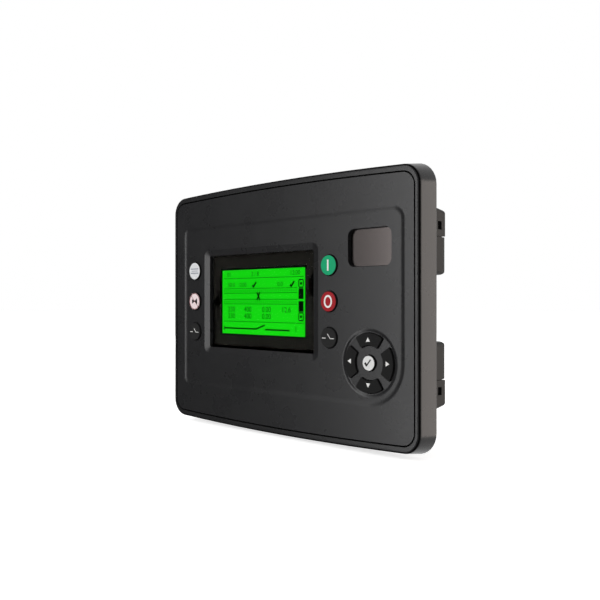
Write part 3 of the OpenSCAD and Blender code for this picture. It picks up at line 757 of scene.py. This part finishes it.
# %% Printed border
BORDER_INK = 0.05
BORDER_WIDTH = 9.4
UPRIGHT = math.pi / 2
behind_pane = (pane_middle.x, pane_high.y + BORDER_INK * MM, pane_middle.z)
bpy.ops.object.select_all(action="DESELECT")
bpy.ops.mesh.primitive_plane_add(size=1, location=behind_pane, rotation=(UPRIGHT, 0, 0))
border = bpy.context.object
border.name = "window_border_print"
border.scale = (pane_size.x, pane_size.z, 1)
bpy.ops.object.transform_apply(location=True, rotation=True, scale=True)
bpy.ops.object.mode_set(mode="EDIT")
bpy.ops.mesh.select_all(action="SELECT")
bpy.ops.mesh.inset(thickness=BORDER_WIDTH * MM)
bpy.ops.mesh.delete(type="FACE")
bpy.ops.object.mode_set(mode="OBJECT")
bpy.ops.object.modifier_add(type="SOLIDIFY")
border.modifiers[-1].thickness = BORDER_INK * MM
border.modifiers[-1].offset = 1
bpy.ops.object.modifier_apply(modifier=border.modifiers[-1].name)
# Screen ink: a flat warm black with no highlight at all
border.data.materials.append(moulded("screen_ink_black", "#151412", "#1a1917", 0.6, shine=0.0))
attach(border, "housing")
print("border faces:", len(border.data.polygons))

# %% [markdown]
# Signs on the keys and in the display are printed marks. Each is drawn the way a sign painter would: from
# strokes, triangles and rings, laid flat in millimetres from the middle of the key. Every shape starts as
# a primitive at its place and is scaled to its size.


# %% Strokes, triangles and rings
def settle(piece, width, tall):
    """Scales a flat primitive to its size and puts its place, turn and size into its mesh."""
    piece.scale = (width * MM, tall * MM, 1)
    bpy.ops.object.transform_apply(location=True, rotation=True, scale=True)
    return piece


def stance(x, z, turn=0):
    """Where a flat primitive goes and how it stands, turned anticlockwise as seen from the front."""
    return {"location": (x * MM, 0, z * MM), "rotation": (UPRIGHT, -math.radians(turn), 0)}


def stroke(x, z, length, width, turn=0):
    """A straight stroke about its middle."""
    bpy.ops.mesh.primitive_plane_add(size=1, **stance(x, z, turn))
    return settle(bpy.context.object, length, width)


def line(x0, z0, x1, z1, width):
    """A stroke from one point to another."""
    length = math.hypot(x1 - x0, z1 - z0)
    turn = math.degrees(math.atan2(z1 - z0, x1 - x0))
    return stroke((x0 + x1) / 2, (z0 + z1) / 2, length, width, turn)


def triangle(x, z, width, tall, turn=0):
    """A triangle about the middle of its circle, pointing up before it is turned."""
    bpy.ops.mesh.primitive_circle_add(vertices=3, radius=1, fill_type="NGON", **stance(x, z, turn))
    return settle(bpy.context.object, width / math.sqrt(3), tall / 1.5)


def ring(x, z, width, tall, band):
    """A round or oval ring: a disc whose middle is inset and deleted."""
    bpy.ops.mesh.primitive_circle_add(vertices=64, radius=0.5, fill_type="NGON", **stance(x, z))
    piece = settle(bpy.context.object, width, tall)
    bpy.ops.object.mode_set(mode="EDIT")
    bpy.ops.mesh.select_all(action="SELECT")
    bpy.ops.mesh.inset(thickness=band * MM)
    bpy.ops.mesh.delete(type="FACE")
    bpy.ops.object.mode_set(mode="OBJECT")
    return piece


print("shapes to draw with: stroke, line, triangle, ring")

# %% [markdown]
# The shapes of a mark are joined, moved to their surface and given the thickness of a coat of ink. Real
# ink is thinner still, but a coat of some hundredths of a millimetre is enough to keep two surfaces from
# flickering. A sign rides on its key, so it sinks with it when it is pressed.


# %% Ink on a surface
def mark(name, shapes, at, ink, body, slot, coat=0.06):
    """Joins flat shapes into one printed mark, moves it to its surface and gives it a coat's thickness."""
    bpy.ops.object.select_all(action="DESELECT")
    for piece in shapes:
        piece.select_set(True)
    bpy.context.view_layer.objects.active = shapes[0]
    if len(shapes) > 1:
        bpy.ops.object.join()
    piece = bpy.context.object
    piece.name = name
    piece.data.name = name
    piece.location = at
    bpy.ops.object.transform_apply(location=True)
    bpy.ops.object.modifier_add(type="SOLIDIFY")
    piece.modifiers[-1].thickness = coat * MM
    piece.modifiers[-1].offset = 1
    bpy.ops.object.modifier_apply(modifier=piece.modifiers[-1].name)
    piece.data.materials.clear()
    piece.data.materials.append(ink)
    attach(piece, body)


def sign(node, part, shapes, ink, **look):
    """A mark about the middle of a key's top face."""
    low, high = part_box(node)
    top = Vector(((low.x + high.x) / 2, low.y, (low.z + high.z) / 2))
    mark(node + "_" + part, shapes, top, ink, body_of[node], KEYS[node], **look)


# Pad printing inks, matt and nearly opaque, so a sign reads as part of the surface
white_ink = moulded("pad_ink_white", "#e2e2e0", "#dad9d7", 0.45)
black_ink = moulded("pad_ink_black", "#0b0b0c", "#101011", 0.45)
red_ink = moulded("pad_ink_red_dull", "#6e3033", "#76383b", 0.45)
grey_ink = moulded("pad_ink_grey", "#7d828d", "#868b95", 0.45)
print("inks:", [ink.name for ink in (white_ink, black_ink, red_ink, grey_ink)])

# %% [markdown]
# The round keys have the common signs of such panels: an open breaker on two keys, a bar and a circle for
# start and stop, three lines for pages, and a crossed-out horn. White goes on the dark keys, black, grey
# and red on the pale ones. Sizes were read off the photo.

# %% Signs on the round keys
BREAKER = 0.45
for node in ("open_key", "close_key"):
    contacts = [stroke(-4.0, -0.3, 3.2, BREAKER), stroke(3.2, -0.5, 3.4, BREAKER)]
    blade = line(1.7, -0.5, -0.8, 2.6, BREAKER)
    sign(node, "sign", contacts + [blade], white_ink)

BAND = 1.25
sign("start_key", "sign", [stroke(-0.4, 0, BAND, 7.4)], white_ink)
sign("stop_key", "sign", [ring(-0.3, 0, 7.2, 8.6, BAND)], white_ink)

OUTER_ROW = 0.75
rows = [stroke(0, 1.7, 9.4, OUTER_ROW), stroke(0, 0, 7.6, 0.4), stroke(0, -1.7, 9.4, OUTER_ROW)]
sign("page_key", "sign", rows, grey_ink)

horn = [triangle(2.0, 0, 5.0, 3.6, turn=90), triangle(-2.1, 0, 3.8, 3.4, turn=-90)]
sign("mute_key", "horn", horn, black_ink)
crossed = [ring(0, 0, 12.8, 12.8, 0.5), line(-4.3, 4.3, 4.3, -4.3, 0.3)]
sign("mute_key", "ring", crossed, red_ink, coat=0.08)
print("signs on the round keys made")

# %% [markdown]
# The navigation pad has a tick on its middle key and four arrows. The arrows sit a little off the middle
# of their caps, as the photo shows them.

# %% Signs on the pad
tick = [line(-2.9, 0.1, -1.3, -1.8, 1.5), line(-1.7, -1.9, 1.7, 2.3, 0.9)]
sign("enter_key", "sign", tick, black_ink)

ARROW_WIDE = 3.2
ARROW_TALL = 2.8
# Each arrow's place on its cap in millimetres, and its turn from pointing up
ARROWS = {
    "up_key": (-0.4, 0.1, 0),
    "left_key": (-0.9, 0.5, 90),
    "down_key": (-0.3, 0.7, 180),
    "right_key": (0.2, 0.3, 270),
}
for node, (x, z, turn) in ARROWS.items():
    sign(node, "sign", [triangle(x, z, ARROW_WIDE, ARROW_TALL, turn)], white_ink)
print("arrows:", len(ARROWS))

# %% [markdown]
# The readout is drawn on the lit field the way the cell's points would draw it. Places are fractions of
# the field, so the layout follows the field's size.

# %% Places on the field
field_middle = (field_low + field_high) / 2
field_w = (field_high.x - field_low.x) / MM
field_h = (field_high.z - field_low.z) / MM
field_at = Vector((field_middle.x, field_low.y, field_middle.z))


def spot(u, v):
    """A place on the field in millimetres from its middle: u from the left, v from the top."""
    return (u - 0.5) * field_w, (0.5 - v) * field_h


def rule(u0, u1, v, width):
    """A level line across the field."""
    x0, z = spot(u0, v)
    x1, _ = spot(u1, v)
    return stroke((x0 + x1) / 2, z, x1 - x0, width)


def block(u0, u1, v0, v1):
    """A filled block of the field."""
    x0, z0 = spot(u0, v0)
    x1, z1 = spot(u1, v1)
    return stroke((x0 + x1) / 2, (z0 + z1) / 2, x1 - x0, z0 - z1)


def outline(u0, u1, v0, v1, width):
    """The outline of a box on the field."""
    x0, z0 = spot(u0, v0)
    x1, z1 = spot(u1, v1)
    sides = [stroke((x0 + x1) / 2, z, x1 - x0, width) for z in (z0, z1)]
    return sides + [stroke(x, (z0 + z1) / 2, width, z0 - z1 - width) for x in (x0, x1)]


def numerals(text, u, v, size):
    """Plain numerals, centred, made into a mesh before they are placed."""
    bpy.ops.object.text_add(**stance(*spot(u, v)))
    piece = bpy.context.object
    piece.data.body = text
    piece.data.size = size * MM
    piece.data.align_x = "CENTER"
    piece.data.align_y = "CENTER"
    bpy.ops.object.convert(target="MESH")
    bpy.ops.object.transform_apply(location=True, rotation=True, scale=True)
    return bpy.context.object


print("field for the readout in mm:", round(field_w, 1), "by", round(field_h, 1))

# %% [markdown]
# Thin marks come first: the rules between the parts of the screen and the ticks of two scales. Thin points
# let some light past, so their ink is a dark green.

# %% Rules and scales
FINE = 0.4
LEFT = 0.02
RIGHT = 0.985
SCALE_RIGHT = 0.915
HEAD_RULE = 0.13
FOOT_RULE = 0.805
SCALES = ((0.29, 0.362), (0.458, 0.53))
SCALE_STEPS = 40
LAST_STEP = 36
TICK_WIDE = 0.004
TICK_MARGIN = 0.018
thin = [rule(LEFT, RIGHT, v, FINE) for v in (HEAD_RULE, FOOT_RULE)]
for v0, v1 in SCALES:
    thin += [rule(LEFT, SCALE_RIGHT, v0, FINE), rule(LEFT, SCALE_RIGHT, v1, FINE)]
    for step in range(1, LAST_STEP + 1):
        u = step / SCALE_STEPS
        thin.append(block(u, u + TICK_WIDE, v0 + TICK_MARGIN, v1 - TICK_MARGIN))
print("rules and scale ticks:", len(thin))

# %% [markdown]
# Numbers fill the screen in rows: a head line with a page number and a clock, a line of states, two rows of
# readings and a number at the foot. They are text objects made into meshes, so that they join the rules in
# one piece.

# %% Numbers of the readout
SMALL = 4.6
TALL = 5.6
HEAD = 0.072
STATE = 0.235
UPPER = 0.617
LOWER = 0.722
FOOT = 0.9
for text, u, v, size in (
    ("01", 0.09, HEAD, SMALL),
    ("2 / 8", 0.42, HEAD, SMALL),
    ("12:00", 0.89, HEAD, SMALL),
    ("50.0", 0.12, STATE, SMALL),
    ("0.00", 0.27, STATE, SMALL),
    ("0.0", 0.72, STATE, SMALL),
    ("230", 0.12, UPPER, TALL),
    ("400", 0.33, UPPER, TALL),
    ("0.00", 0.56, UPPER, TALL),
    ("12.6", 0.79, UPPER, TALL),
    ("230", 0.12, LOWER, TALL),
    ("400", 0.33, LOWER, TALL),
    ("0.00", 0.56, LOWER, TALL),
    ("1", 0.9, FOOT, TALL),
):
    thin.append(numerals(text, u, v, size))
print("fine marks:", len(thin))
lcd_ink = moulded("lcd_points_dark", "#04400a", "#05480c", 0.6, shine=0.0)
mark("readout_fine", thin, field_at, lcd_ink, "housing", "lcd_green", coat=0.03)

# %% [markdown]
# Bold marks read as black: the pointer between the two scales, drawn as a cross, a tick beside each
# state, and a scroll bar at the right edge.

# %% Pointer, ticks and scroll bar
POINTER = (0.462, 0.41)
POINTER_SIDE = 1.6
POINTER_REACH = 3.0
POINTER_LINE = 1.3
TICK_LINE = 1.4
x, z = spot(*POINTER)
top, foot = z + POINTER_REACH, z - POINTER_REACH
bold = [line(x - side, top, x + side, foot, POINTER_LINE) for side in (POINTER_SIDE, -POINTER_SIDE)]
for u in (0.41, 0.857):
    x, z = spot(u, STATE)
    bold.append(line(x - 2.1, z - 0.3, x - 0.7, z - 1.8, TICK_LINE))
    bold.append(line(x - 1.0, z - 1.8, x + 2.2, z + 2.0, TICK_LINE))

BUTTON_LINE = 0.9
BUTTON_DOT = 0.018
for v0, v1 in ((0.175, 0.285), (0.655, 0.765)):
    middle = (v0 + v1) / 2
    bold += outline(0.932, 0.981, v0, v1, BUTTON_LINE)
    bold.append(block(0.946, 0.967, middle - BUTTON_DOT, middle + BUTTON_DOT))
bold += [block(0.929, 0.984, v0, v1) for v0, v1 in ((0.3, 0.455), (0.485, 0.64))]
print("pointer, ticks and scroll bar:", len(bold), "shapes")

# %% [markdown]
# Along the foot runs the line diagram of a breaker: the supply from the left, the open blade, and the
# load. It joins the other bold marks in one piece.

# %% Line diagram
BOLD = 1.1
SUPPLY = 0.913
LOAD = 0.918
HINGE = 0.435
END_BAR = (0.02, 0.03)
BLADE_TIP = (0.54, 0.85)
bold += [rule(END_BAR[1], HINGE, SUPPLY, BOLD), rule(0.545, 0.83, LOAD, BOLD)]
bold.append(block(*END_BAR, 0.88, 0.945))
bold.append(line(*spot(HINGE, SUPPLY), *spot(*BLADE_TIP), BOLD))
print("bold marks:", len(bold))
bold_ink = moulded("lcd_points_black", "#021005", "#031206", 0.6, shine=0.0)
mark("readout_bold", bold, field_at, bold_ink, "housing", "lcd_green", coat=0.03)

# %% [markdown]
# A cross recess lets a driver centre itself in a screw head. From the rear its hollow holds shade and shows
# as a dark cross. So two strokes of dark metal on each cover screw are painted shade, which gives the same
# look for a few faces.

# %% Cover screw recesses as painted shade
HEAD_R = 2.8
CROSS = 3.0
CROSS_ARM = 0.7
CROSS_LIFT = 0.03
screw_low, screw_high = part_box("cover_screws")
crosses = []
for x in (screw_low.x / MM + HEAD_R, screw_high.x / MM - HEAD_R):
    for z in (screw_low.z / MM + HEAD_R, screw_high.z / MM - HEAD_R):
        crosses += [stroke(x, z, CROSS, CROSS_ARM), stroke(x, z, CROSS_ARM, CROSS)]
print("screw recesses:", len(crosses) // 2)
heads_at = Vector((0, screw_high.y + CROSS_LIFT * MM, 0))
# Dark strokes on the screw heads: painted shade for the hollow of each cross recess.
mark("cover_screw_recess_shade", crosses, heads_at, finishes["black_metal"], "housing", "zinc_steel")
